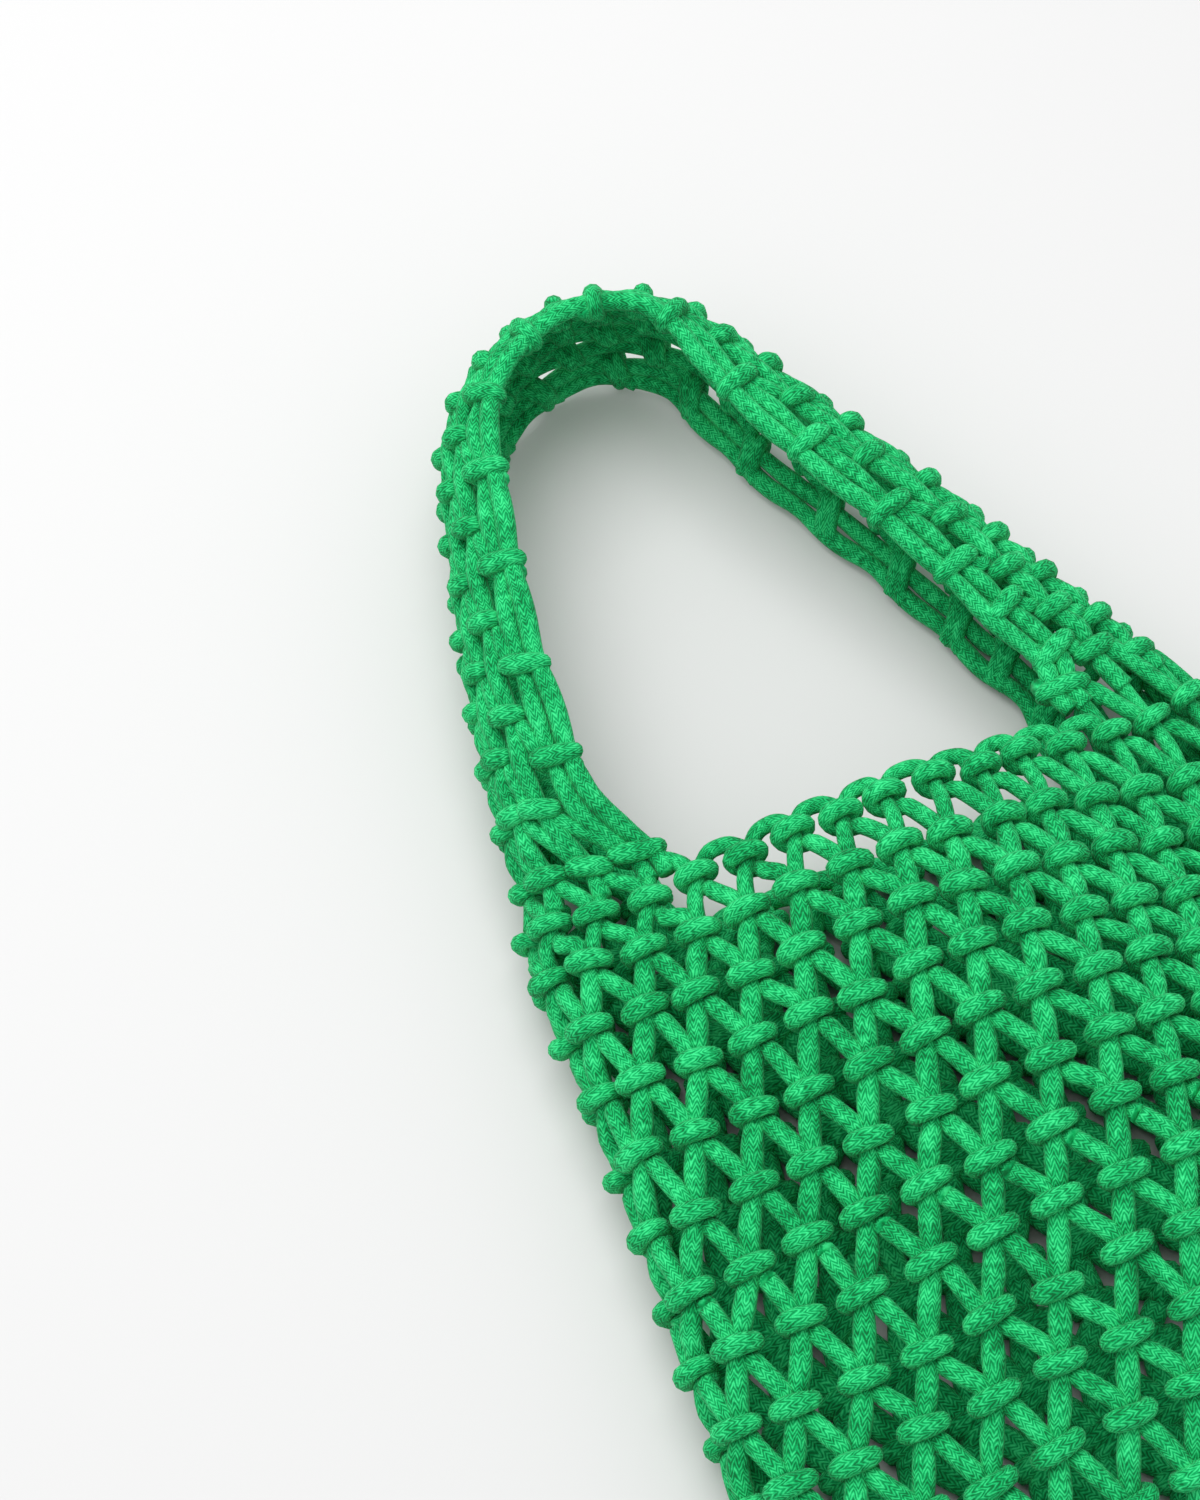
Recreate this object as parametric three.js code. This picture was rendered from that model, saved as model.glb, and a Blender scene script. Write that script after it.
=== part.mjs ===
import * as THREE from 'three';

// A tote bag knotted as one net from soft cotton cord, lying on its back.
// Millimetres. X is the width, Y runs from the base towards the strap, Z is up from the floor.

// Cord and knots
const cordDiameter = 7;
const knotRelief = 3.5;
const pieceGap = 0.3;

// Body as it lies
const bodyWidth = 326;
const bodyLength = 262;
const foldRadius = 15.5;
const crownHeight = 30;
const frontRimDrop = 5;
const backRimDrop = 15;
const cornerRise = 12;
const columnsRound = 32;
const columnsTurned = 7;

// Strap as it lies
const strapColumns = 7;
const strapPitch = 13;
const loopRadius = 57;
const loopRise = 139;
const loopLean = 2;
const strapBlend = 34;

// Gaps of the nets
const bodyGapColumns = 16;
const bodyGapRows = 5;
const strapGapColumns = 3;
const strapGapRows = 10;
const gapShareAcross = 0.54;
const gapShareAlong = 0.6;
const ribShare = 0.2;
const rowSway = 0.1;

// Scallops of the mouth edge
const scallopRise = 6;
const cordSides = 8;
const stepsPerScallop = 5;

// Body sections from mouth to base: shares of bodyLength, bodyWidth, foldRadius and crownHeight,
// and the slant of the rows of knots, which fall towards the right
const bodySections = [
  { down: 0.0, width: 0.68, fold: 1.0, crown: 0.45, slant: 0.17 },
  { down: 0.07, width: 0.71, fold: 1.0, crown: 0.66, slant: 0.25 },
  { down: 0.2, width: 0.745, fold: 1.0, crown: 0.9, slant: 0.265 },
  { down: 0.42, width: 0.825, fold: 1.0, crown: 1.0, slant: 0.215 },
  { down: 0.65, width: 0.92, fold: 0.95, crown: 0.9, slant: 0.165 },
  { down: 0.85, width: 0.98, fold: 0.8, crown: 0.6, slant: 0.13 },
  { down: 1.0, width: 0.995, fold: 0.5, crown: 0.05, slant: 0.05 },
];

// Strap sections from the left leg to the right leg. Pitch, bent and bow are shares of strapPitch:
// bent is the length that curves on each side of the middle, and bow is how far the whole section
// lies outside the straight line of its leg. Facing and wrap are degrees.
const strapSections = [
  { along: 0.0, pitch: 1.06, facing: 90, wrap: 178, bent: 1.87, bow: 0 },
  { along: 0.1, pitch: 0.94, facing: 91, wrap: 150, bent: 2.1, bow: 0.32 },
  { along: 0.2, pitch: 0.88, facing: 92, wrap: 128, bent: 2.35, bow: 0.42 },
  { along: 0.3, pitch: 0.86, facing: 92, wrap: 114, bent: 2.55, bow: 0.25 },
  { along: 0.38, pitch: 0.84, facing: 93, wrap: 106, bent: 2.65, bow: 0.08 },
  { along: 0.44, pitch: 0.82, facing: 94, wrap: 98, bent: 2.7, bow: 0 },
  { along: 0.5, pitch: 0.79, facing: 95, wrap: 90, bent: 2.75, bow: 0 },
  { along: 0.55, pitch: 0.82, facing: 96, wrap: 98, bent: 2.7, bow: 0 },
  { along: 0.62, pitch: 0.9, facing: 96, wrap: 130, bent: 2.3, bow: 0 },
  { along: 0.7, pitch: 0.98, facing: 96, wrap: 150, bent: 2.2, bow: 0.05 },
  { along: 0.8, pitch: 1.0, facing: 95, wrap: 158, bent: 2.12, bow: 0.05 },
  { along: 0.9, pitch: 1.05, facing: 92, wrap: 172, bent: 1.95, bow: 0 },
  { along: 1.0, pitch: 1.12, facing: 90, wrap: 178, bent: 1.87, bow: 0 },
];

// Surface heights measured from the middle of the net wall
const wallHalf = cordDiameter / 2;
const restHeight = wallHalf + knotRelief;
const halfRound = columnsRound / 2;
const strapHalf = (strapColumns - 1) / 2;

const radians = (degrees) => degrees * Math.PI / 180;

function ease(t) {
  const s = Math.min(1, Math.max(0, t));
  return s * s * (3 - 2 * s);
}

// Smooth value of a named column of a table at a place, the table's first column being the place
function tableValue(rows, key, name, place) {
  const last = rows.length - 1;
  const slope = (i) => {
    const a = rows[Math.max(0, i - 1)];
    const b = rows[Math.min(last, i + 1)];
    return (b[name] - a[name]) / (b[key] - a[key]);
  };
  if (place <= rows[0][key]) {
    return rows[0][name] + slope(0) * (place - rows[0][key]);
  }
  if (place >= rows[last][key]) {
    return rows[last][name];
  }
  let i = 0;
  while (rows[i + 1][key] < place) {
    i += 1;
  }
  const h = rows[i + 1][key] - rows[i][key];
  const q = (place - rows[i][key]) / h;
  const rise = q * q * (3 - 2 * q);
  const fromStart = q * (1 - q) * (1 - q) * h * slope(i);
  const toEnd = q * q * (q - 1) * h * slope(i + 1);
  return rows[i][name] * (1 - rise) + rows[i + 1][name] * rise + fromStart + toEnd;
}

const bodyShare = (name, down) => tableValue(bodySections, 'down', name, down);

// Section of the body tube: place counts columns from the left fold over the front and round
function ringPoint(place, down) {
  const halfWidth = bodyWidth / 2 * bodyShare('width', down);
  const radius = foldRadius * bodyShare('fold', Math.max(0, down));
  const crown = crownHeight * bodyShare('crown', Math.max(0, down));
  const turned = ((place % columnsRound) + columnsRound) % columnsRound;
  const onFront = turned <= halfRound;
  const flatHalf = halfWidth - radius;
  const halfLength = Math.PI * radius + 2 * flatHalf;
  const quarter = Math.PI * radius / 2;
  let way = (onFront ? turned : columnsRound - turned) / halfRound * halfLength;
  let side = 1;
  if (way > halfLength / 2) {
    way = halfLength - way;
    side = -1;
  }
  let x = way - quarter - flatHalf;
  let height = radius;
  if (way < quarter) {
    x = -flatHalf - radius * Math.cos(way / radius);
    height = radius * Math.sin(way / radius);
  } else if (onFront) {
    height += crown * (1 + Math.cos(Math.PI * x / flatHalf)) / 2;
  }
  return { x: x * side, z: restHeight + radius + (onFront ? height : -height) };
}

// Columns run nearly straight near the mouth and turn round the tube further down
function columnsAt(down) {
  const settle = 0.04;
  const d = Math.max(0, down);
  return columnsTurned * d * d * (1 + settle) / (d + settle);
}

// How far the rim sags between the straps, at the front and at the back
function rimDrop(column) {
  const u = ((column % columnsRound) + columnsRound) % columnsRound;
  const inward = Math.min(u % halfRound, halfRound - u % halfRound);
  return (u > halfRound ? backRimDrop : frontRimDrop) * ease(inward / strapHalf);
}

// Middle of the body net at a column and a share of the way down to the base
function bodyPoint(column, down) {
  const ring = ringPoint(column - columnsAt(down), down);
  const low = Math.pow(Math.max(0, down), 3);
  const corner = Math.pow(Math.abs(ring.x) / (bodyWidth / 2), 4);
  const length = (bodyLength - rimDrop(column)) * (1 - down);
  const y = length - bodyShare('slant', down) * ring.x + cornerRise * corner * low;
  return new THREE.Vector3(ring.x, y, ring.z);
}

// Line of the strap's crest on the floor plan: a straight leg, an arc, a straight leg
const mouthHalf = bodyWidth / 2 * bodySections[0].width;
const mouthFall = mouthHalf * bodySections[0].slant;
const leftFoot = new THREE.Vector2(-mouthHalf, bodyLength + mouthFall);
const rightFoot = new THREE.Vector2(mouthHalf, bodyLength - mouthFall);
const loopCentre = new THREE.Vector2(loopLean, bodyLength + loopRise);

function legTo(foot, hand) {
  const reach = loopCentre.clone().sub(foot);
  const angle = Math.atan2(reach.y, reach.x) + hand * Math.asin(loopRadius / reach.length());
  const length = Math.sqrt(reach.lengthSq() - loopRadius * loopRadius);
  const heading = new THREE.Vector2(Math.cos(angle), Math.sin(angle));
  const touch = foot.clone().addScaledVector(heading, length);
  return { heading, length, touch, start: touch.clone().sub(loopCentre).angle() };
}

const leftLeg = legTo(leftFoot, 1);
const rightLeg = legTo(rightFoot, -1);
const arcAngle = (leftLeg.start - rightLeg.start + 2 * Math.PI) % (2 * Math.PI);
const arcLength = arcAngle * loopRadius;
const strapLength = leftLeg.length + arcLength + rightLeg.length;

function crestAt(travel) {
  const onArc = travel - leftLeg.length;
  if (onArc <= 0) {
    const point = leftFoot.clone().addScaledVector(leftLeg.heading, travel);
    return { point, heading: leftLeg.heading };
  }
  if (onArc <= arcLength) {
    const angle = leftLeg.start - onArc / loopRadius;
    const out = new THREE.Vector2(Math.cos(angle), Math.sin(angle));
    const point = loopCentre.clone().addScaledVector(out, loopRadius);
    return { point, heading: new THREE.Vector2(out.y, -out.x) };
  }
  const heading = rightLeg.heading.clone().negate();
  const point = rightLeg.touch.clone().addScaledVector(heading, onArc - arcLength);
  return { point, heading };
}

// Section of the strap across its width: out is away from the loop's middle, up is from the floor
function strapSection(across, along) {
  const share = (name) => tableValue(strapSections, 'along', name, along);
  const pitch = strapPitch * share('pitch');
  const bent = strapPitch * share('bent');
  const facing = radians(share('facing'));
  const halfWrap = radians(share('wrap')) / 2;
  const walk = (length) => {
    const hand = Math.sign(length) || 1;
    const curved = Math.min(Math.abs(length), bent) * hand;
    const straight = length - curved;
    const turn = facing + halfWrap * curved / bent;
    const scale = bent / halfWrap;
    return {
      out: scale * (Math.sin(turn) - Math.sin(facing)) + straight * Math.cos(turn),
      up: scale * (Math.cos(facing) - Math.cos(turn)) + straight * Math.sin(turn),
    };
  };
  const here = walk(across * pitch);
  const foot = walk(-strapHalf * pitch);
  return { out: here.out + strapPitch * share('bow'), up: restHeight + here.up - foot.up };
}

// Middle of the strap net: across counts columns from its crest, along runs from left to right foot
function strapPoint(across, along) {
  const travel = along * strapLength;
  const crest = crestAt(travel);
  const section = strapSection(across, along);
  const point = new THREE.Vector3(
    crest.point.x - crest.heading.y * section.out,
    crest.point.y + crest.heading.x * section.out,
    section.up,
  );
  const foot = footOf(across, along);
  const rim = bodyPoint(foot.column, 0);
  rim.x += foot.lead.x * foot.distance;
  rim.y += foot.lead.y * foot.distance;
  return rim.lerp(point, ease(foot.distance / strapBlend));
}

// Nearer foot of the strap: its column of the body, its heading and how far away it is
function footOf(across, along) {
  if (along < 0.5) {
    return { column: across, lead: leftLeg.heading, distance: along * strapLength };
  }
  return { column: halfRound - across, lead: rightLeg.heading, distance: (1 - along) * strapLength };
}

// Outward direction of a surface, outward being to the left of growing u when v grows away
function surfaceNormal(surface, u, v) {
  const step = 0.002;
  const alongU = surface(u + step, v).sub(surface(u - step, v));
  const alongV = surface(u, v + step).sub(surface(u, v - step));
  return alongV.cross(alongU).normalize();
}

const bodyNormal = (column, down) => surfaceNormal(bodyPoint, column, down);

// The strap faces the same way as the body's rim where they meet
function strapNormal(across, along) {
  const foot = footOf(across, along);
  const own = surfaceNormal(strapPoint, across, along).negate();
  return bodyNormal(foot.column, 0).lerp(own, ease(foot.distance / strapBlend * 2)).normalize();
}

// Lines of a net across its width: each pitch has a raised rib, a slope, a gap and a slope.
// Rows rise over a rib and fall over a gap, as the cord that is knotted round the columns does.
function netColumns(count, closed) {
  const ribHalf = ribShare / 2;
  const gapStart = (1 - gapShareAcross) / 2;
  const marks = [
    { at: -ribHalf, relief: 1, gap: false, rise: -ribHalf / gapStart },
    { at: ribHalf, relief: 1, gap: false, rise: ribHalf / gapStart },
    { at: gapStart, relief: 0, gap: true, rise: 1 },
    { at: gapStart + gapShareAcross / 3, relief: 0, gap: true, rise: 1 / 3 },
    { at: gapStart + gapShareAcross * 2 / 3, relief: 0, gap: true, rise: -1 / 3 },
    { at: gapStart + gapShareAcross, relief: 0, gap: false, rise: -1 },
  ];
  const lines = [];
  for (let column = 0; column < count; column += 1) {
    for (const mark of marks) {
      lines.push({ ...mark, at: column + mark.at });
    }
  }
  if (!closed) {
    lines.push({ ...marks[0], at: count + marks[0].at });
    lines.push({ ...marks[1], at: count + marks[1].at });
  }
  return lines;
}

// Lines of a net along its length: a band before each row of gaps and one after the last
function netRows(count) {
  const rowPitch = 1 / (count + 1 - gapShareAlong);
  const band = rowPitch * (1 - gapShareAlong);
  const sway = rowPitch * rowSway;
  const lines = [];
  for (let row = 0; row < count; row += 1) {
    const start = row * rowPitch;
    lines.push({ at: start, gap: false, sway: row > 0 ? sway : 0 });
    lines.push({ at: start + band, gap: true, sway });
    lines.push({ at: start + band + rowPitch * gapShareAlong / 2, gap: true, sway });
  }
  lines.push({ at: 1 - band, gap: false, sway });
  lines.push({ at: 1, gap: false, sway: 0 });
  return lines;
}

// A net wall as one closed body with its gaps cut through. placeOf gives the two surface
// coordinates of a pair of lines, and the far end of a closed net is drawn together.
function netWall(columns, rows, closed, sewnEnd, placeOf, surface, facing) {
  const positions = [];
  const indices = [];
  const known = new Map();
  const lastColumn = columns.length - (closed ? 0 : 1);
  const lastRow = rows.length - 1;
  const isSolid = (i, j) => {
    if (j < 0 || j >= lastRow || (!closed && (i < 0 || i >= lastColumn))) {
      return false;
    }
    const wrapped = (i + columns.length) % columns.length;
    return !(columns[wrapped].gap && rows[j].gap);
  };
  const vertex = (i, j, outer) => {
    const wrapped = i % columns.length;
    const key = `${wrapped} ${j} ${outer}`;
    if (!known.has(key)) {
      const place = placeOf(columns[wrapped], rows[j], outer);
      const point = surface(place.u, place.v);
      const height = outer ? wallHalf + knotRelief * columns[wrapped].relief : -wallHalf;
      point.addScaledVector(facing(place.u, place.v), height);
      known.set(key, positions.length / 3);
      positions.push(point.x, point.y, Math.max(0, point.z));
    }
    return known.get(key);
  };
  const quad = (a, b, c, d) => {
    indices.push(a, b, c, a, c, d);
  };
  for (let i = 0; i < lastColumn; i += 1) {
    for (let j = 0; j < lastRow; j += 1) {
      if (!isSolid(i, j)) {
        continue;
      }
      const corners = [[i, j], [i, j + 1], [i + 1, j + 1], [i + 1, j]];
      const o = corners.map(([column, row]) => vertex(column, row, true));
      const n = corners.map(([column, row]) => vertex(column, row, false));
      quad(o[0], o[1], o[2], o[3]);
      quad(n[3], n[2], n[1], n[0]);
      const sides = [
        { beside: isSolid(i - 1, j), from: 0, to: 1, sewn: false },
        { beside: isSolid(i, j + 1), from: 1, to: 2, sewn: sewnEnd && j + 1 === lastRow },
        { beside: isSolid(i + 1, j), from: 2, to: 3, sewn: false },
        { beside: isSolid(i, j - 1), from: 3, to: 0, sewn: false },
      ];
      for (const side of sides) {
        if (!side.beside && !side.sewn) {
          quad(o[side.to], o[side.from], n[side.from], n[side.to]);
        }
      }
    }
  }
  return { positions, indices, vertex, lastRow };
}

function finishedGeometry(positions, indices) {
  const geometry = new THREE.BufferGeometry();
  geometry.setAttribute('position', new THREE.Float32BufferAttribute(positions, 3));
  geometry.setIndex(indices);
  geometry.computeVertexNormals();
  return geometry;
}

// Body net: one tube from the mouth down, drawn together along the base
function bodyNet() {
  const columns = netColumns(bodyGapColumns, true);
  const rows = netRows(bodyGapRows);
  const columnsPerPitch = columnsRound / bodyGapColumns;
  const innerEnd = 1 - cordDiameter / bodyLength;
  const placeOf = (column, row, outer) => ({
    u: column.at * columnsPerPitch,
    v: (row.at - row.sway * column.rise) * (outer ? 1 : innerEnd),
  });
  const wall = netWall(columns, rows, true, true, placeOf, bodyPoint, bodyNormal);
  const foldIndex = Math.round(columnsTurned / columnsRound * columns.length);
  const pairs = columns.length / 2;
  for (const outer of [true, false]) {
    const front = (k) => wall.vertex(foldIndex + 1 + k, wall.lastRow, outer);
    const back = (k) => wall.vertex(foldIndex - k + columns.length, wall.lastRow, outer);
    for (let k = 0; k < pairs - 1; k += 1) {
      const corners = [front(k), back(k), back(k + 1), front(k + 1)];
      const order = outer ? corners : corners.reverse();
      wall.indices.push(order[0], order[1], order[2], order[0], order[2], order[3]);
    }
  }
  return finishedGeometry(wall.positions, wall.indices);
}

// Strap net: one wide band from its front edge to its back edge, its ends a hair above the rim
function strapNet() {
  const columns = netColumns(strapGapColumns, false);
  const rows = netRows(strapGapRows);
  const edge = wallHalf / strapPitch;
  const margin = pieceGap / strapLength;
  const placeOf = (column, row) => {
    const share = (column.at + ribShare / 2) / (strapGapColumns + ribShare);
    const along = row.at - row.sway * column.rise;
    return { u: (1 - share * 2) * (strapHalf + edge), v: margin + along * (1 - 2 * margin) };
  };
  const wall = netWall(columns, rows, false, false, placeOf, strapPoint, strapNormal);
  return finishedGeometry(wall.positions, wall.indices);
}

// A round cord of even thickness along a line of points
function cordAlong(points, radius) {
  const positions = [];
  const indices = [];
  const up = new THREE.Vector3(0, 0, 1);
  points.forEach((point, i) => {
    const before = points[Math.max(0, i - 1)];
    const after = points[Math.min(points.length - 1, i + 1)];
    const heading = after.clone().sub(before).normalize();
    const side = heading.clone().cross(up).normalize();
    const top = side.clone().cross(heading);
    for (let k = 0; k < cordSides; k += 1) {
      const angle = 2 * Math.PI * (k + 0.5) / cordSides;
      const at = point.clone();
      at.addScaledVector(side, radius * Math.cos(angle));
      at.addScaledVector(top, radius * Math.sin(angle));
      positions.push(at.x, at.y, at.z);
    }
  });
  const last = points.length - 1;
  for (let i = 0; i < last; i += 1) {
    for (let k = 0; k < cordSides; k += 1) {
      const next = (k + 1) % cordSides;
      const a = i * cordSides + k;
      const b = i * cordSides + next;
      indices.push(a, b + cordSides, b, a, a + cordSides, b + cordSides);
    }
  }
  for (let k = 1; k < cordSides - 1; k += 1) {
    indices.push(0, k, k + 1);
    indices.push(last * cordSides, last * cordSides + k + 1, last * cordSides + k);
  }
  return finishedGeometry(positions, indices);
}

// Mouth cord: a scallop from column to column along the front or the back of the rim
function mouthCord(firstColumn, lastColumn) {
  const radius = cordDiameter / 2;
  const scallops = Math.round(lastColumn - firstColumn);
  const steps = scallops * stepsPerScallop;
  const points = [];
  for (let i = 0; i <= steps; i += 1) {
    const column = firstColumn + (lastColumn - firstColumn) * i / steps;
    const wave = Math.abs(Math.sin(Math.PI * scallops * i / steps));
    const point = bodyPoint(column, 0);
    point.y += radius + pieceGap + scallopRise * wave;
    points.push(point);
  }
  return cordAlong(points, radius);
}

const cordGreens = { body: '#17ad60', strap: '#1bb466', mouth: '#22bd6d' };

function piece(name, geometry, colour) {
  const material = new THREE.MeshStandardMaterial({ color: colour, roughness: 0.92, metalness: 0 });
  material.name = `${name}_cotton_cord`;
  const mesh = new THREE.Mesh(geometry, material);
  mesh.name = name;
  return mesh;
}

// Ends of the mouth cords, clear of the strap's edges
const cordReach = strapHalf + (cordDiameter + pieceGap) / strapPitch;

const toteBag = new THREE.Group();
toteBag.name = 'tote_bag';
toteBag.add(piece('body_net', bodyNet(), cordGreens.body));
toteBag.add(piece('strap_net', strapNet(), cordGreens.strap));
toteBag.add(piece('front_mouth_cord', mouthCord(cordReach, halfRound - cordReach), cordGreens.mouth));
toteBag.add(piece(
  'back_mouth_cord',
  mouthCord(halfRound + cordReach, columnsRound - cordReach),
  cordGreens.mouth,
));

// The whole is set with the middle of its box over the origin, resting on the floor
const box = new THREE.Box3().setFromObject(toteBag);
const middle = box.getCenter(new THREE.Vector3());
for (const mesh of toteBag.children) {
  mesh.geometry.translate(-middle.x, -middle.y, -box.min.z);
}

export default toteBag;
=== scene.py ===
import math
import random

import bpy
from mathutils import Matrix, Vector


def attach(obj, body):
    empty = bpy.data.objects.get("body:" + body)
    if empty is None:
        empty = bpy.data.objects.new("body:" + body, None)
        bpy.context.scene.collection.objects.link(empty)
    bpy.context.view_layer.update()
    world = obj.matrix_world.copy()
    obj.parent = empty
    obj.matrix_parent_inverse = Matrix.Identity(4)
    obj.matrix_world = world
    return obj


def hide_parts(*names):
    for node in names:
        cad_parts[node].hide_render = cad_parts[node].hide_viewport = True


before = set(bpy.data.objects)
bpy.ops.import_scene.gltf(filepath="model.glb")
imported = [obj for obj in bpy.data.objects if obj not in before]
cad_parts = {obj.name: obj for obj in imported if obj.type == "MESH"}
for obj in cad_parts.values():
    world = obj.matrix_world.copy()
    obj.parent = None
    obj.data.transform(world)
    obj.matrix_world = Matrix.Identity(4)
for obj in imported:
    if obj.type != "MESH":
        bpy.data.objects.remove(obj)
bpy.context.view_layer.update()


# Upright cords of the body. A soft cotton cord hangs down each column of the net, from the mouth or
# out of the strap to the base, and the other cord is hitched round it. The net is one slack tube
# that lies on its back, its front arched up and its sides folded over. Lengths are millimetres.
BODY_WIDTH = 326.0
BODY_LENGTH = 262.0
FOLD_RADIUS = 15.5
CROWN_HEIGHT = 30.0
FRONT_RIM_DROP = 5.0
BACK_RIM_DROP = 15.0
CORNER_RISE = 12.0
REST_HEIGHT = 7.0
COLUMNS_ROUND = 32
COLUMNS_TURNED = 7
HALF_ROUND = COLUMNS_ROUND / 2
STRAP_COLUMNS = 7
STRAP_HALF = (STRAP_COLUMNS - 1) / 2
FRAME_SHIFT = 229.802
TURN_SETTLE = 0.04
FLOOR_GAP = 0.2
# Cord lower than this is pressed wider by a share, and near the mouth it is pulled thinner
PRESSED_BELOW = 17.0
PRESSED_WIDER = 0.28
MOUTH_REACH = 0.2
MOUTH_TENSION = 0.14

# From mouth to base: share of the way down, of the width, of the fold and of the crown, row slant
BODY_SECTIONS = (
    (0.00, 0.680, 1.00, 0.45, 0.170),
    (0.07, 0.710, 1.00, 0.66, 0.250),
    (0.20, 0.745, 1.00, 0.90, 0.265),
    (0.42, 0.825, 1.00, 1.00, 0.215),
    (0.65, 0.920, 0.95, 0.90, 0.165),
    (0.85, 0.980, 0.80, 0.60, 0.130),
    (1.00, 0.995, 0.50, 0.05, 0.050),
)


def eased(t):
    t = min(1.0, max(0.0, t))
    return t * t * (3 - 2 * t)


def table_value(rows, column, place):
    """A column of a table of sections at a place between its rows, on a smooth curve."""
    last = len(rows) - 1

    def slope(i):
        a, b = rows[max(0, i - 1)], rows[min(last, i + 1)]
        return (b[column] - a[column]) / (b[0] - a[0])

    if place <= rows[0][0]:
        return rows[0][column] + slope(0) * (place - rows[0][0])
    if place >= rows[last][0]:
        return rows[last][column]
    i = 0
    while rows[i + 1][0] < place:
        i += 1
    gap = rows[i + 1][0] - rows[i][0]
    q = (place - rows[i][0]) / gap
    rise = q * q * (3 - 2 * q)
    bend = q * (1 - q) ** 2 * gap * slope(i) + q * q * (q - 1) * gap * slope(i + 1)
    return rows[i][column] * (1 - rise) + rows[i + 1][column] * rise + bend


def ring_point(place, down):
    """Where a cord that is so many columns round the net lies across the bag, and how high."""
    half_width = BODY_WIDTH / 2 * table_value(BODY_SECTIONS, 1, down)
    radius = FOLD_RADIUS * table_value(BODY_SECTIONS, 2, max(0.0, down))
    crown = CROWN_HEIGHT * table_value(BODY_SECTIONS, 3, max(0.0, down))
    place = place % COLUMNS_ROUND
    on_front = place <= HALF_ROUND
    flat_half = half_width - radius
    half_length = math.pi * radius + 2 * flat_half
    quarter = math.pi * radius / 2
    way = (place if on_front else COLUMNS_ROUND - place) / HALF_ROUND * half_length
    side = 1
    if way > half_length / 2:
        way, side = half_length - way, -1
    x, height = way - quarter - flat_half, radius
    if way < quarter:
        x = -flat_half - radius * math.cos(way / radius)
        height = radius * math.sin(way / radius)
    elif on_front:
        height += crown * (1 + math.cos(math.pi * x / flat_half)) / 2
    return x * side, REST_HEIGHT + radius + (height if on_front else -height)


def columns_at(down):
    """How many columns the net has turned round the bag by this share of the way down."""
    down = max(0.0, down)
    return COLUMNS_TURNED * down * down * (1 + TURN_SETTLE) / (down + TURN_SETTLE)


def from_foot(column):
    """How many columns a column is from the middle of the nearer foot of the strap."""
    return min(column % HALF_ROUND, HALF_ROUND - column % HALF_ROUND)


def body_point(column, down):
    x, z = ring_point(column - columns_at(down), down)
    low = max(0.0, down) ** 3
    corner = (abs(x) / (BODY_WIDTH / 2)) ** 4
    sag = FRONT_RIM_DROP if column % COLUMNS_ROUND <= HALF_ROUND else BACK_RIM_DROP
    y = (BODY_LENGTH - sag * eased(from_foot(column) / STRAP_HALF)) * (1 - down)
    y += CORNER_RISE * corner * low - table_value(BODY_SECTIONS, 4, down) * x
    return Vector((x, y - FRAME_SHIFT, z))


def surface_axes(surface, u, v):
    step = 0.002
    along_u = (surface(u + step, v) - surface(u - step, v)) / (2 * step)
    along_v = (surface(u, v + step) - surface(u, v - step)) / (2 * step)
    return along_u, along_v


def pressed(point, radius, give):
    """Cord is pressed up on to the floor, and wider there by its give under the bag's weight."""
    wide = radius * (1 + give * eased((PRESSED_BELOW - point.z) / PRESSED_BELOW * 2))
    return Vector((point.x, point.y, max(point.z, wide + FLOOR_GAP))), wide


def on_net(surface, hand, u, v, right, down, out, radius):
    """Cord so many millimetres right, down and out of a place on the net: its middle and radius.

    Hand is 1 on the body, and -1 on the strap, where v grows against the way that is down.
    """
    along_u, along_v = surface_axes(surface, u, v)
    u = u + right / along_u.length
    v = v + hand * down / along_v.length
    along_u, along_v = surface_axes(surface, u, v)
    facing = along_v.cross(along_u).normalized() * hand
    if surface is not body_point:
        return pressed(surface(u, v) + facing * out, radius, 0.0)
    radius *= 1 - MOUTH_TENSION * (1 - eased(v / MOUTH_REACH))
    return pressed(surface(u, v) + facing * out, radius, PRESSED_WIDER)


METRES = 0.001


def swept_cord(verts, faces, maps, points, radii, sides):
    """Adds a round cord along points, with its ends closed, and where each corner lies on it."""
    first = len(verts)
    heading = (points[1] - points[0]).normalized()
    side = heading.orthogonal().normalized()
    travelled = 0.0
    stations = []
    for i, point in enumerate(points):
        before, after = points[max(0, i - 1)], points[min(len(points) - 1, i + 1)]
        turned = (after - before).normalized()
        side = (side - turned * side.dot(turned)).normalized()
        up = turned.cross(side)
        if i:
            travelled += (point - points[i - 1]).length
        stations.append(travelled)
        for k in range(sides):
            angle = 2 * math.pi * k / sides
            verts.append(point + (side * math.cos(angle) + up * math.sin(angle)) * radii[i])
    for i in range(len(points) - 1):
        for k in range(sides):
            a, b = first + i * sides + k, first + i * sides + (k + 1) % sides
            faces.append((a, b, b + sides, a + sides))
            u0, u1 = k / sides, (k + 1) / sides
            v0, v1 = stations[i], stations[i + 1]
            maps.append(((u0, v0), (u1, v0), (u1, v1), (u0, v1)))
    last = first + (len(points) - 1) * sides
    faces.append(tuple(first + k for k in reversed(range(sides))))
    maps.append(((0.5, 0.0),) * sides)
    faces.append(tuple(last + k for k in range(sides)))
    maps.append(((0.5, travelled),) * sides)


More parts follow.
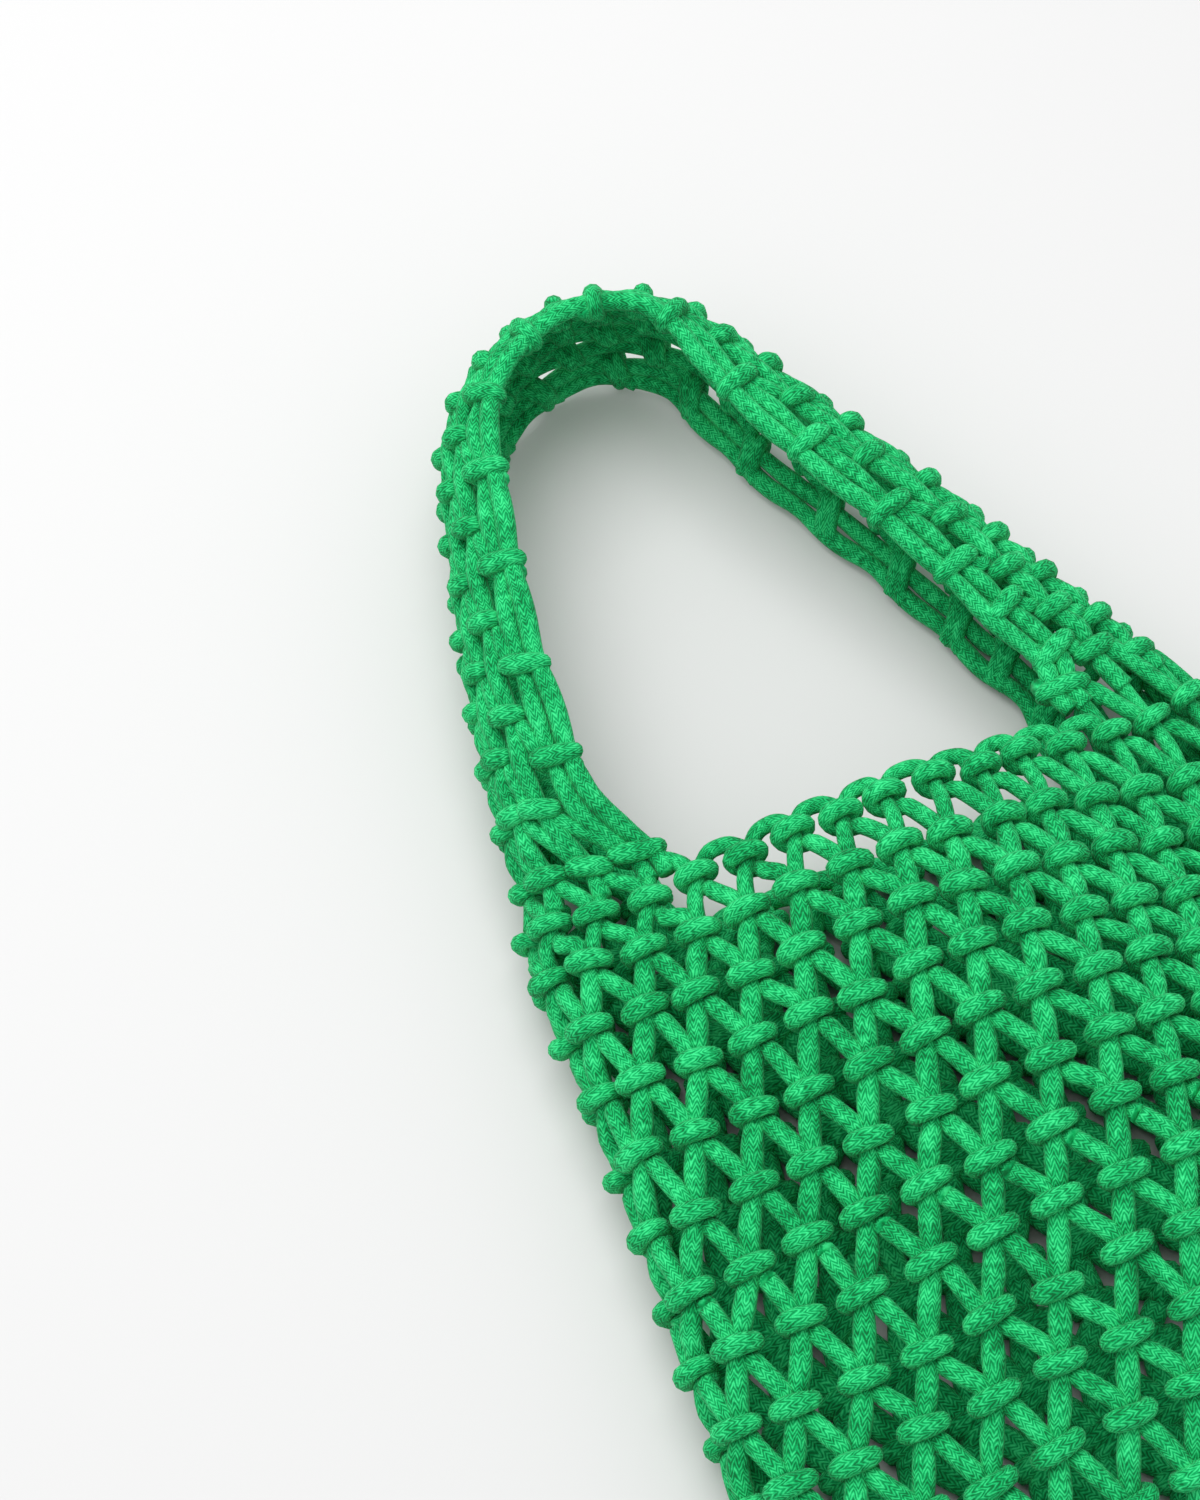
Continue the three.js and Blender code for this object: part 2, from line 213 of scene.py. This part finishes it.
def cord_piece(name, cords, sides, material, replaced):
    """Makes one piece from many cords, each a list of points and a list of radii in millimetres."""
    verts, faces, maps = [], [], []
    for points, radii in cords:
        swept_cord(verts, faces, maps, points, radii, sides)
    mesh = bpy.data.meshes.new(name)
    mesh.from_pydata([v * METRES for v in verts], [], faces)
    along_cord = mesh.uv_layers.new(name="along_cord")
    flat = [value for face in maps for corner in face for value in corner]
    along_cord.data.foreach_set("uv", flat)
    mesh.polygons.foreach_set("use_smooth", [True] * len(faces))
    mesh.materials.append(material)
    piece = bpy.data.objects.new(name, mesh)
    bpy.context.scene.collection.objects.link(piece)
    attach(piece, "root")
    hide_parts(*replaced)
    return piece


def rounded_path(controls, spans):
    """Smooth points through controls, each a Vector and a radius, with so many steps a span."""
    points, radii = [], []
    for i in range(len(controls) - 1):
        p0, p1 = controls[max(0, i - 1)], controls[i]
        p2, p3 = controls[i + 1], controls[min(len(controls) - 1, i + 2)]
        for k in range(spans[i]):
            t = k / spans[i]
            a = 2 * p1[0]
            b = p2[0] - p0[0]
            c = 2 * p0[0] - 5 * p1[0] + 4 * p2[0] - p3[0]
            d = 3 * p1[0] - p0[0] - 3 * p2[0] + p3[0]
            points.append((a + b * t + c * t * t + d * t ** 3) / 2)
            radii.append(p1[1] + (p2[1] - p1[1]) * t)
    points.append(controls[-1][0])
    radii.append(controls[-1][1])
    return points, radii


def linear(hex_colour):
    channels = [int(hex_colour[i:i + 2], 16) / 255 for i in (1, 3, 5)]
    return [c / 12.92 if c <= 0.04045 else ((c + 0.055) / 1.055) ** 2.4 for c in channels] + [1.0]


def add_node(tree, kind, settings=None, **links):
    """Adds a shader node. Settings are its own values, links its inputs: a socket or a value."""
    node = tree.nodes.new(kind)
    for key, value in (settings or {}).items():
        setattr(node, key, value)
    for key, value in links.items():
        socket = node.inputs[int(key[1:])] if key[0] == "i" and key[1:].isdigit() else node.inputs[key]
        if isinstance(value, bpy.types.NodeSocket):
            tree.links.new(value, socket)
        else:
            socket.default_value = value
    return node


# Cotton cord: a knitted tube of soft cotton yarn round a cotton core, dyed green and not finished,
# so it is matt and a little furry. Fine V stitches run in columns along it, with painted highlight
# where yarn stands up and painted shade, deep green, where one strand shades the next.
# Single fibres are too fine to show, so they are drawn as tufts of 0.3 to 2.4 mm
STITCH_COLUMNS = 8
YARN_SPACING = 1.8
YARN_SLANT = 1.3
YARN_TANGLE = 2.4
TANGLE_WIDTH = 4.5
YARN_DEPTH = 0.14
TUFT_WIDTH = 2.4
TUFT_DEPTH = 0.8
PATCHES_A_METRE = 75.0
PATCH_DEPTH = 0.4
RELIEF_DEPTH = 0.6

cotton = bpy.data.materials.new("braided_cotton_cord")
cotton.use_nodes = True
tree = cotton.node_tree
shader = tree.nodes["Principled BSDF"]
place = add_node(tree, "ShaderNodeUVMap", {"uv_map": "along_cord"})
split = add_node(tree, "ShaderNodeSeparateXYZ", i0=place.outputs[0])
spot = add_node(tree, "ShaderNodeTexCoord")
fibre = add_node(
    tree, "ShaderNodeTexNoise", Vector=spot.outputs["Object"],
    Scale=1000 / TUFT_WIDTH, Detail=3.0, Roughness=0.65,
)
tangle = add_node(
    tree, "ShaderNodeTexNoise", Vector=spot.outputs["Object"],
    Scale=1000 / TANGLE_WIDTH, Detail=1.0,
)
patch = add_node(
    tree, "ShaderNodeTexNoise", Vector=spot.outputs["Object"], Scale=PATCHES_A_METRE, Detail=2.0,
)
turns = add_node(
    tree, "ShaderNodeMath", {"operation": "MULTIPLY"}, i0=split.outputs[0], i1=float(STITCH_COLUMNS),
)
zigzag = add_node(tree, "ShaderNodeMath", {"operation": "PINGPONG"}, i0=turns.outputs[0], i1=0.5)
rows = add_node(
    tree, "ShaderNodeMath", {"operation": "DIVIDE"}, i0=split.outputs[1], i1=YARN_SPACING,
)
slanted = add_node(
    tree, "ShaderNodeMath", {"operation": "MULTIPLY_ADD"},
    i0=zigzag.outputs[0], i1=2 * YARN_SLANT, i2=rows.outputs[0],
)
loose = add_node(
    tree, "ShaderNodeMath", {"operation": "MULTIPLY_ADD"},
    i0=tangle.outputs[0], i1=YARN_TANGLE, i2=slanted.outputs[0],
)
phase = add_node(
    tree, "ShaderNodeMath", {"operation": "MULTIPLY"}, i0=loose.outputs[0], i1=2 * math.pi,
)
wave = add_node(tree, "ShaderNodeMath", {"operation": "SINE"}, i0=phase.outputs[0])
yarn = add_node(
    tree, "ShaderNodeMath", {"operation": "MULTIPLY"}, i0=wave.outputs[0], i1=YARN_DEPTH,
)
relief = add_node(
    tree, "ShaderNodeMath", {"operation": "MULTIPLY_ADD"},
    i0=fibre.outputs[0], i1=TUFT_DEPTH, i2=yarn.outputs[0],
)
bump = add_node(
    tree, "ShaderNodeBump", Strength=0.8, Distance=RELIEF_DEPTH / 1000, Height=relief.outputs[0],
)
# Colour follows the relief: painted highlight on high yarn and tufts, painted shade in the low parts
# between them, plus patches of random tone
painted_shade_and_tone = add_node(
    tree, "ShaderNodeMath", {"operation": "MULTIPLY_ADD"},
    i0=patch.outputs[0], i1=PATCH_DEPTH, i2=relief.outputs[0],
)
ramp = add_node(tree, "ShaderNodeValToRGB", Fac=painted_shade_and_tone.outputs[0])
ramp.color_ramp.elements[0].position = 0.38
ramp.color_ramp.elements[0].color = linear("#006431")
ramp.color_ramp.elements[1].position = 0.84
ramp.color_ramp.elements[1].color = linear("#38D482")
middle = ramp.color_ramp.elements.new(0.6)
middle.color = linear("#00A057")
tree.links.new(ramp.outputs[0], shader.inputs["Base Color"])
tree.links.new(bump.outputs[0], shader.inputs["Normal"])
shader.inputs["Roughness"].default_value = 0.88
shader.inputs["Specular IOR Level"].default_value = 0.2
shader.inputs["Sheen Weight"].default_value = 0.17
shader.inputs["Sheen Roughness"].default_value = 0.4
shader.inputs["Sheen Tint"].default_value = linear("#8FEBB6")

ROWS = 13
FIRST_ROW = 0.035
ROW_PITCH = 0.0765
SIDES = 10
UPRIGHT_STEPS = 4
UPRIGHT_RADIUS = 3.6
KNOTTED_RADIUS = 2.9
TOP_IN_STRAP = -0.012
TOP_BELOW_KNOT = 0.006
CORD_END = 0.995
PULLED_IN = -1.2
STANDS_OUT = 0.2
# Columns, share of the way down, and degrees that a knot lies off its place
KNOT_NUDGE = (0.06, 0.004, 7)
rng = random.Random(7)


def row_place(row):
    return FIRST_ROW + ROW_PITCH * row


def nudged(column, place, nudges):
    """A knot's column, place along and tilt, each a little off by chance."""
    sideways, along, tilt = [rng.uniform(-most, most) for most in nudges]
    return column + sideways, place + along, tilt


knots = {}
for column in range(COLUMNS_ROUND):
    for row in range(ROWS):
        knots[column, row] = nudged(column, row_place(row), KNOT_NUDGE)

upright_cords = []
for column in range(COLUMNS_ROUND):
    top = TOP_IN_STRAP if from_foot(column) <= STRAP_HALF else FIRST_ROW - TOP_BELOW_KNOT
    controls = [on_net(body_point, 1, column, top, 0, 0, 0, KNOTTED_RADIUS)]
    for row in range(ROWS):
        u, v = knots[column, row][:2]
        controls.append(on_net(body_point, 1, u, v, 0, 0, PULLED_IN, KNOTTED_RADIUS))
        following = row_place(row + 1) if row + 1 < ROWS else CORD_END
        between = (row_place(row) + following) / 2
        radius = UPRIGHT_RADIUS if row > 0 else KNOTTED_RADIUS
        controls.append(on_net(body_point, 1, column, between, 0, 0, STANDS_OUT, radius))
    controls.append(on_net(body_point, 1, column, CORD_END, 0, 0, 0, KNOTTED_RADIUS))
    upright_cords.append(rounded_path(controls, [UPRIGHT_STEPS] * (len(controls) - 1)))
cord_piece("body_upright_cords", upright_cords, SIDES, cotton, ["body_net"])


# Knotted cord of the body. It slants down from column to column and is hitched once round each
# upright: it passes behind the upright, comes back across its front as a short plump bar, and
# leaves again from under the bar's right end.
# Millimetres right, down and out of the knot, radius, and steps to the next point
HITCH = (
    (-5.2, -6.4, 0.4, 3.2, 3),
    (-3.2, -3.2, 0.0, 3.0, 2),
    (-0.6, -1.0, -3.8, 2.8, 2),
    (3.8, -0.4, -2.8, 2.8, 2),
    (5.6, -0.2, 0.4, 2.7, 2),
    (4.2, 0.0, 2.8, 3.0, 3),
    (0.4, 0.0, 4.2, 3.4, 3),
    (-3.6, 0.0, 3.4, 3.5, 3),
    (-5.6, 0.2, 0.6, 2.9, 2),
    (-3.4, 1.4, -2.8, 2.8, 2),
    (0.6, 2.8, -3.8, 2.8, 2),
    (4.0, 4.4, -2.2, 2.9, 2),
    (6.6, 7.0, 0.2, 3.2, 3),
)
BODY_PITCH = 20.0
RIM_START = (-5.0, -5.4, 1.2, 2.3, 3)


def hitch(surface, hand, knot, shape, pitch):
    """Control points of one knot, narrower where the columns are closer together."""
    u, v, tilt = knot
    lean = math.sin(math.radians(tilt))
    squeeze = 0.5 + 0.5 * surface_axes(surface, u, v)[0].length / pitch
    return [
        on_net(surface, hand, u, v, right * squeeze, down + right * lean, out, radius) + (steps,)
        for right, down, out, radius, steps in shape
    ]


def knotted(controls):
    """One run of knotted cord through its control points, each a place, a radius and steps."""
    return rounded_path([c[:2] for c in controls], [c[2] for c in controls])


UPPER_ROWS = 7
upper_cords, lower_cords = [], []
for column in range(COLUMNS_ROUND):
    controls = []
    for row in range(ROWS):
        u, v, tilt = knots[(column + row) % COLUMNS_ROUND, row]
        rounds = (column + row) // COLUMNS_ROUND * COLUMNS_ROUND
        at_mouth = row == 0 and from_foot(column - 0.5) > STRAP_HALF + 0.5
        shape = (RIM_START,) + HITCH[1:] if at_mouth else HITCH
        controls.extend(hitch(body_point, 1, (u + rounds, v, tilt), shape, BODY_PITCH))
    upper_cords.append(knotted(controls[:UPPER_ROWS * len(HITCH)]))
    lower_cords.append(knotted(controls[UPPER_ROWS * len(HITCH) - 1:]))
cord_piece("body_knotted_cord_upper", upper_cords, SIDES, cotton, ["body_net"])
cord_piece("body_knotted_cord_lower", lower_cords, SIDES, cotton, ["body_net"])


# Long cords of the strap. The uprights of the body run on as one wide band: a straight leg from
# each side of the mouth and an arc between them. It is folded lengthwise, crest outwards, and
# opens out where it stands up round the arc.
STRAP_PITCH = 13.0
LOOP_RADIUS = 57.0
LOOP_RISE = 139.0
LOOP_LEAN = 2.0
STRAP_BLEND = 34.0
# Share of the way along, share of the pitch, facing and wrap in degrees, pitches bent and bowed out
STRAP_SECTIONS = (
    (0.00, 1.06, 90, 178, 1.87, 0.00),
    (0.10, 0.94, 91, 150, 2.10, 0.32),
    (0.20, 0.88, 92, 128, 2.35, 0.42),
    (0.30, 0.86, 92, 114, 2.55, 0.25),
    (0.38, 0.84, 93, 106, 2.65, 0.08),
    (0.44, 0.82, 94, 98, 2.70, 0.00),
    (0.50, 0.79, 95, 90, 2.75, 0.00),
    (0.55, 0.82, 96, 98, 2.70, 0.00),
    (0.62, 0.90, 96, 130, 2.30, 0.00),
    (0.70, 0.98, 96, 150, 2.20, 0.05),
    (0.80, 1.00, 95, 158, 2.12, 0.05),
    (0.90, 1.05, 92, 172, 1.95, 0.00),
    (1.00, 1.12, 90, 178, 1.87, 0.00),
)

mouth_half = BODY_WIDTH / 2 * BODY_SECTIONS[0][1]
mouth_fall = mouth_half * BODY_SECTIONS[0][4]
mouth_y = BODY_LENGTH - FRAME_SHIFT
left_foot = Vector((-mouth_half, mouth_y + mouth_fall))
right_foot = Vector((mouth_half, mouth_y - mouth_fall))
loop_centre = Vector((LOOP_LEAN, mouth_y + LOOP_RISE))


def leg_to(foot, hand):
    reach = loop_centre - foot
    angle = math.atan2(reach.y, reach.x) + hand * math.asin(LOOP_RADIUS / reach.length)
    length = math.sqrt(reach.length_squared - LOOP_RADIUS ** 2)
    heading = Vector((math.cos(angle), math.sin(angle)))
    touch = foot + heading * length
    start = math.atan2(touch.y - loop_centre.y, touch.x - loop_centre.x)
    return heading, length, touch, start


left_heading, left_length, _, left_start = leg_to(left_foot, 1)
right_heading, right_length, right_touch, right_start = leg_to(right_foot, -1)
arc_length = ((left_start - right_start) % (2 * math.pi)) * LOOP_RADIUS
STRAP_LENGTH = left_length + arc_length + right_length


def crest_at(travel):
    on_arc = travel - left_length
    if on_arc <= 0:
        return left_foot + left_heading * travel, left_heading
    if on_arc <= arc_length:
        angle = left_start - on_arc / LOOP_RADIUS
        out = Vector((math.cos(angle), math.sin(angle)))
        return loop_centre + out * LOOP_RADIUS, Vector((out.y, -out.x))
    return right_touch - right_heading * (on_arc - arc_length), -right_heading


def strap_section(across, along):
    pitch = STRAP_PITCH * table_value(STRAP_SECTIONS, 1, along)
    facing = math.radians(table_value(STRAP_SECTIONS, 2, along))
    half_wrap = math.radians(table_value(STRAP_SECTIONS, 3, along)) / 2
    bent = STRAP_PITCH * table_value(STRAP_SECTIONS, 4, along)

    def walk(length):
        curved = math.copysign(min(abs(length), bent), length)
        straight = length - curved
        turn = facing + half_wrap * curved / bent
        scale = bent / half_wrap
        out = scale * (math.sin(turn) - math.sin(facing)) + straight * math.cos(turn)
        up = scale * (math.cos(facing) - math.cos(turn)) + straight * math.sin(turn)
        return out, up

    out, up = walk(across * pitch)
    foot_up = walk(-STRAP_HALF * pitch)[1]
    bow = STRAP_PITCH * table_value(STRAP_SECTIONS, 5, along)
    return out + bow, REST_HEIGHT + up - foot_up


def foot_of(across, along):
    if along < 0.5:
        return across, left_heading, along * STRAP_LENGTH
    return HALF_ROUND - across, right_heading, (1 - along) * STRAP_LENGTH


def strap_point(across, along):
    crest, heading = crest_at(along * STRAP_LENGTH)
    out, up = strap_section(across, along)
    point = Vector((crest.x - heading.y * out, crest.y + heading.x * out, up))
    column, lead, distance = foot_of(across, along)
    rim = body_point(column, 0.0) + Vector((lead.x, lead.y, 0)) * distance
    return rim.lerp(point, eased(distance / STRAP_BLEND))


ROW_AT_FOOT = 20.0
ROW_PULLED = 33.0
FIRST_KNOT = 12.0
FALL_PER_COLUMN = 18.0
SLACK_END = 75.0
LANE = 0.8
LANE_BLEND = 35.0
LONG_RADIUS = 3.3
TIGHT_RADIUS = 2.7
LONG_STEPS = 5
LONG_PULLED_IN = -1.6
LONG_STANDS_OUT = 0.3
# Columns, share of the way along, and degrees
STRAP_NUDGE = (0.05, 0.003, 9)
STRAP_LANES = range(-3, 4)


def lane(across, along):
    """The columns of the strap lie closer together than its edges need once they leave the foot."""
    away = min(along, 1 - along) * STRAP_LENGTH
    return across * (1 - (1 - LANE) * eased(away / LANE_BLEND))


def strap_travel(across, row):
    """Rows near both feet are as on the body, and between them they are pulled long."""
    slack_rows = (STRAP_HALF - across) * (ROW_PULLED - FALL_PER_COLUMN) / (ROW_PULLED - ROW_AT_FOOT)
    travel = FIRST_KNOT + ROW_PULLED * row - (ROW_PULLED - ROW_AT_FOOT) * min(row, slack_rows)
    past = max(0.0, travel - STRAP_LENGTH + SLACK_END)
    return travel - past * (1 - ROW_AT_FOOT / ROW_PULLED)


strap_knots, last_row = {}, {}
for across in STRAP_LANES:
    row = 0
    while strap_travel(across, row) < STRAP_LENGTH - FIRST_KNOT / 2:
        along = strap_travel(across, row) / STRAP_LENGTH
        strap_knots[across, row] = nudged(lane(across, along), along, STRAP_NUDGE)
        last_row[across] = row
        row += 1

long_cords = []
for across in STRAP_LANES:
    controls = [on_net(strap_point, -1, across, 0.0, 0, 0, 0, LONG_RADIUS)]
    for row in range(last_row[across] + 1):
        u, v = strap_knots[across, row][:2]
        following = strap_knots[across, row + 1][1] if row < last_row[across] else 1.0
        between = (v + following) / 2
        controls.append(on_net(strap_point, -1, u, v, 0, 0, LONG_PULLED_IN, TIGHT_RADIUS))
        beside = lane(across, between)
        controls.append(on_net(strap_point, -1, beside, between, 0, 0, LONG_STANDS_OUT, LONG_RADIUS))
    controls.append(on_net(strap_point, -1, across, 1.0, 0, 0, 0, LONG_RADIUS))
    long_cords.append(rounded_path(controls, [LONG_STEPS] * (len(controls) - 1)))
cord_piece("strap_long_cords", long_cords, SIDES, cotton, ["strap_net"])


# Knotted cord of the strap. The same hitches as on the body, pulled long and tight by the weight
# that the strap carries, so the knots are flatter and further apart. At the feet the cord runs on
# into the first knots of the body.
STRAP_HITCH = (
    (-4.0, -6.8, -0.2, 2.8, 2),
    (-3.2, -3.2, -1.2, 2.7, 2),
    (0.0, -1.0, -4.4, 2.7, 2),
    (3.2, 0.2, -3.2, 2.7, 2),
    (4.2, 0.8, 0.0, 2.7, 2),
    (3.1, 0.6, 1.6, 3.1, 3),
    (0.0, 0.0, 2.4, 3.4, 3),
    (-3.1, -0.6, 1.7, 3.3, 2),
    (-4.2, -0.6, 0.0, 2.8, 2),
    (-2.8, 1.0, -3.2, 2.7, 2),
    (0.6, 2.6, -4.2, 2.7, 2),
    (3.8, 5.6, -0.6, 2.8, 3),
)
STRAP_PULLED_PITCH = 11.0
# In the outermost columns, cord this many millimetres to the edge's side of its knot reaches so many
# times as far, round the edge cord
EDGE_SIDE = 3.0
EDGE_WRAP = 1.75
# From the last knot of each column towards the body, at the right foot
LINK = ((0.0, 0.0, -2.6, 2.4, 2), (-4.0, -3.0, 0.4, 2.5, 3), (-4.6, -7.0, 0.6, 2.7, 3))

strap_cords = []
for across, row in strap_knots:
    if (across - 1, row + 1) in strap_knots:
        continue
    controls = []
    while (across, row) in strap_knots:
        shape = [
            (right * (EDGE_WRAP if right * across > EDGE_SIDE * STRAP_HALF else 1), *rest)
            for right, *rest in STRAP_HITCH
        ]
        controls.extend(hitch(strap_point, -1, strap_knots[across, row], shape, STRAP_PULLED_PITCH))
        across, row = across + 1, row - 1
    if row == -1:
        entry = knots[across % COLUMNS_ROUND, 0]
        controls.extend(hitch(body_point, 1, entry, HITCH[:2], BODY_PITCH))
    strap_cords.append(knotted(controls))
for across in STRAP_LANES:
    knot = strap_knots[across, last_row[across]]
    controls = hitch(strap_point, -1, knot, LINK, STRAP_PULLED_PITCH)
    entry = knots[HALF_ROUND + 1 - across, 0]
    controls.extend(hitch(body_point, 1, entry, HITCH[:2], BODY_PITCH))
    strap_cords.append(knotted(controls))
cord_piece("strap_knotted_cord", strap_cords, SIDES, cotton, ["strap_net"])


# Edge cords of the strap. A cord without knots of its own runs along each edge, and the knots of
# the column beside it hold it there.
EDGE_PLACES = 90
EDGE_STEPS = 2
EDGE_AT_FOOT = 3.38
EDGE_BEYOND = 2.9
EDGE_DRAWN_IN = 0.05
EDGE_PINCH = 0.4
edge_cords = []
for outward in (-1, 1):
    controls = []
    for i in range(EDGE_PLACES + 1):
        along = i / EDGE_PLACES
        away = min(along, 1 - along) * STRAP_LENGTH
        place_across = EDGE_AT_FOOT + (EDGE_BEYOND - EDGE_AT_FOOT) * eased(away / LANE_BLEND)
        near_knot = math.cos(2 * math.pi * (along * STRAP_LENGTH - FIRST_KNOT) / ROW_PULLED)
        place_across -= EDGE_DRAWN_IN * near_knot
        radius = LONG_RADIUS - EDGE_PINCH * max(0.0, near_knot)
        place_across *= outward
        out = -EDGE_PINCH * near_knot
        controls.append(on_net(strap_point, -1, place_across, along, 0, 0, out, radius))
    edge_cords.append(rounded_path(controls, [EDGE_STEPS] * EDGE_PLACES))
cord_piece("strap_edge_cords", edge_cords, SIDES, cotton, ["strap_net"])


# Mouth cords. The first run of cord along the mouth is pulled a little thinner. It rises out of
# each knot in a low arc to the next, so the mouth has a scalloped, open edge, front and back.
# Share of the way from knot to knot, millimetres down and out, and radius
SCALLOP = (
    (-0.10, -3.8, 1.2, 3.0),
    (0.03, -3.2, -1.8, 2.8),
    (0.14, -4.8, -1.0, 2.9),
    (0.32, -6.6, 0.0, 3.0),
    (0.55, -7.0, 0.4, 3.0),
    (0.76, -6.0, 1.0, 3.1),
)
# Millimetres right, down and out of the last knot, and radius
SCALLOP_END = (-1.5, -4.0, 1.0, 2.4)
SCALLOP_STEPS = 3
FRONT_KNOTS = (4, 13)
BACK_KNOTS = (20, 29)


def scalloped(first, last):
    """The cord along the mouth from behind one knot to another, in an arc to each knot between."""
    controls = []
    for column in range(first, last):
        u, v = knots[column % COLUMNS_ROUND, 0][:2]
        following = knots[(column + 1) % COLUMNS_ROUND, 0]
        for share, down, out, radius in SCALLOP:
            place_round = column + share + (u - column % COLUMNS_ROUND) * (1 - share)
            place_down = v + (following[1] - v) * max(0.0, share)
            controls.append(on_net(body_point, 1, place_round, place_down, 0, down, out, radius))
    controls.append(on_net(body_point, 1, last, v, *SCALLOP_END))
    return rounded_path(controls[1:], [SCALLOP_STEPS] * (len(controls) - 2))


cord_piece("front_mouth_scallops", [scalloped(*FRONT_KNOTS)], SIDES, cotton, ["front_mouth_cord"])
cord_piece("back_mouth_scallops", [scalloped(*BACK_KNOTS)], SIDES, cotton, ["back_mouth_cord"])


# Closing seam along the base. The two layers are drawn together by a cord that is whipped over
# both of them from one corner to the other.
SEAM_TURNS = 24
SEAM_STEPS = 8
SEAM_RADIUS = 3.0
SEAM_DOWN = 0.985
SEAM_FROM_CORNER = 0.4
SEAM_REACH = 5.0
SEAM_BELOW = 2.0
seam = []
for i in range(SEAM_TURNS * SEAM_STEPS + 1):
    share = i / (SEAM_TURNS * SEAM_STEPS)
    place_round = COLUMNS_TURNED + SEAM_FROM_CORNER + (HALF_ROUND - 2 * SEAM_FROM_CORNER) * share
    upper = body_point(place_round, SEAM_DOWN)
    lower = body_point(2 * COLUMNS_TURNED - place_round, SEAM_DOWN)
    centre = (upper + lower) / 2
    tall = (upper - lower).length / 2 + SEAM_RADIUS
    angle = 2 * math.pi * share * SEAM_TURNS
    centre.y += SEAM_REACH * math.cos(angle) - SEAM_BELOW
    centre.z += tall * math.sin(angle)
    seam.append(pressed(centre, SEAM_RADIUS, 0.0))
cord_piece("base_seam", [tuple(zip(*seam))], SIDES, cotton, ["body_net"])


# Studio. A plain pale floor of matt paper, one large soft light above and beyond the strap, and a
# weak one from the left. The world lights the rest evenly.
FLOOR_SIDE = 6.0
bpy.ops.object.select_all(action="DESELECT")
bpy.ops.mesh.primitive_plane_add(size=FLOOR_SIDE, location=(0, 0, 0))
floor = bpy.context.object
floor.name = "floor"
paper = bpy.data.materials.new("matt_white_paper")
paper.use_nodes = True
paper.node_tree.nodes["Principled BSDF"].inputs["Base Color"].default_value = linear("#CBCBCB")
paper.node_tree.nodes["Principled BSDF"].inputs["Roughness"].default_value = 0.9
floor.data.materials.append(paper)

# Name, place and side in metres, and watts
for name, spot_at, size, power in (
    ("key_light", (-0.1, 0.65, 1.65), 1.5, 28.0),
    ("side_light", (-1.1, 0.3, 1.2), 1.0, 3.0),
):
    lamp = bpy.data.lights.new(name, "AREA")
    lamp.size = size
    lamp.energy = power
    light = bpy.data.objects.new(name, lamp)
    light.location = spot_at
    light.rotation_euler = (-Vector(spot_at)).to_track_quat("-Z", "Y").to_euler()
    bpy.context.scene.collection.objects.link(light)

world = bpy.data.worlds.new("studio")
world.use_nodes = True
world.node_tree.nodes["Background"].inputs[0].default_value = linear("#FFFFFF")
world.node_tree.nodes["Background"].inputs[1].default_value = 0.78
bpy.context.scene.world = world
bpy.context.scene.view_settings.view_transform = "Standard"

# Camera: above the bag and to its left, with the strap at the top of the picture
CAMERA_TURN = math.radians(-33)
CAMERA_RISE = math.radians(66)
CAMERA_AWAY = 0.9
FOCAL_PIXELS = 2710
PICTURE_HEIGHT = 1500
picture_middle = Vector((-0.054, 0.330 - FRAME_SHIFT / 1000, 0))
camera = bpy.data.objects.new("camera", bpy.data.cameras.new("camera"))
back = Vector((
    math.sin(CAMERA_TURN) * math.cos(CAMERA_RISE),
    -math.cos(CAMERA_TURN) * math.cos(CAMERA_RISE),
    math.sin(CAMERA_RISE),
))
camera.location = picture_middle + back * CAMERA_AWAY
camera.rotation_euler = (math.pi / 2 - CAMERA_RISE, 0, CAMERA_TURN)
camera.data.sensor_width = 36
camera.data.lens = FOCAL_PIXELS / PICTURE_HEIGHT * camera.data.sensor_width
bpy.context.scene.collection.objects.link(camera)
bpy.context.scene.camera = camera
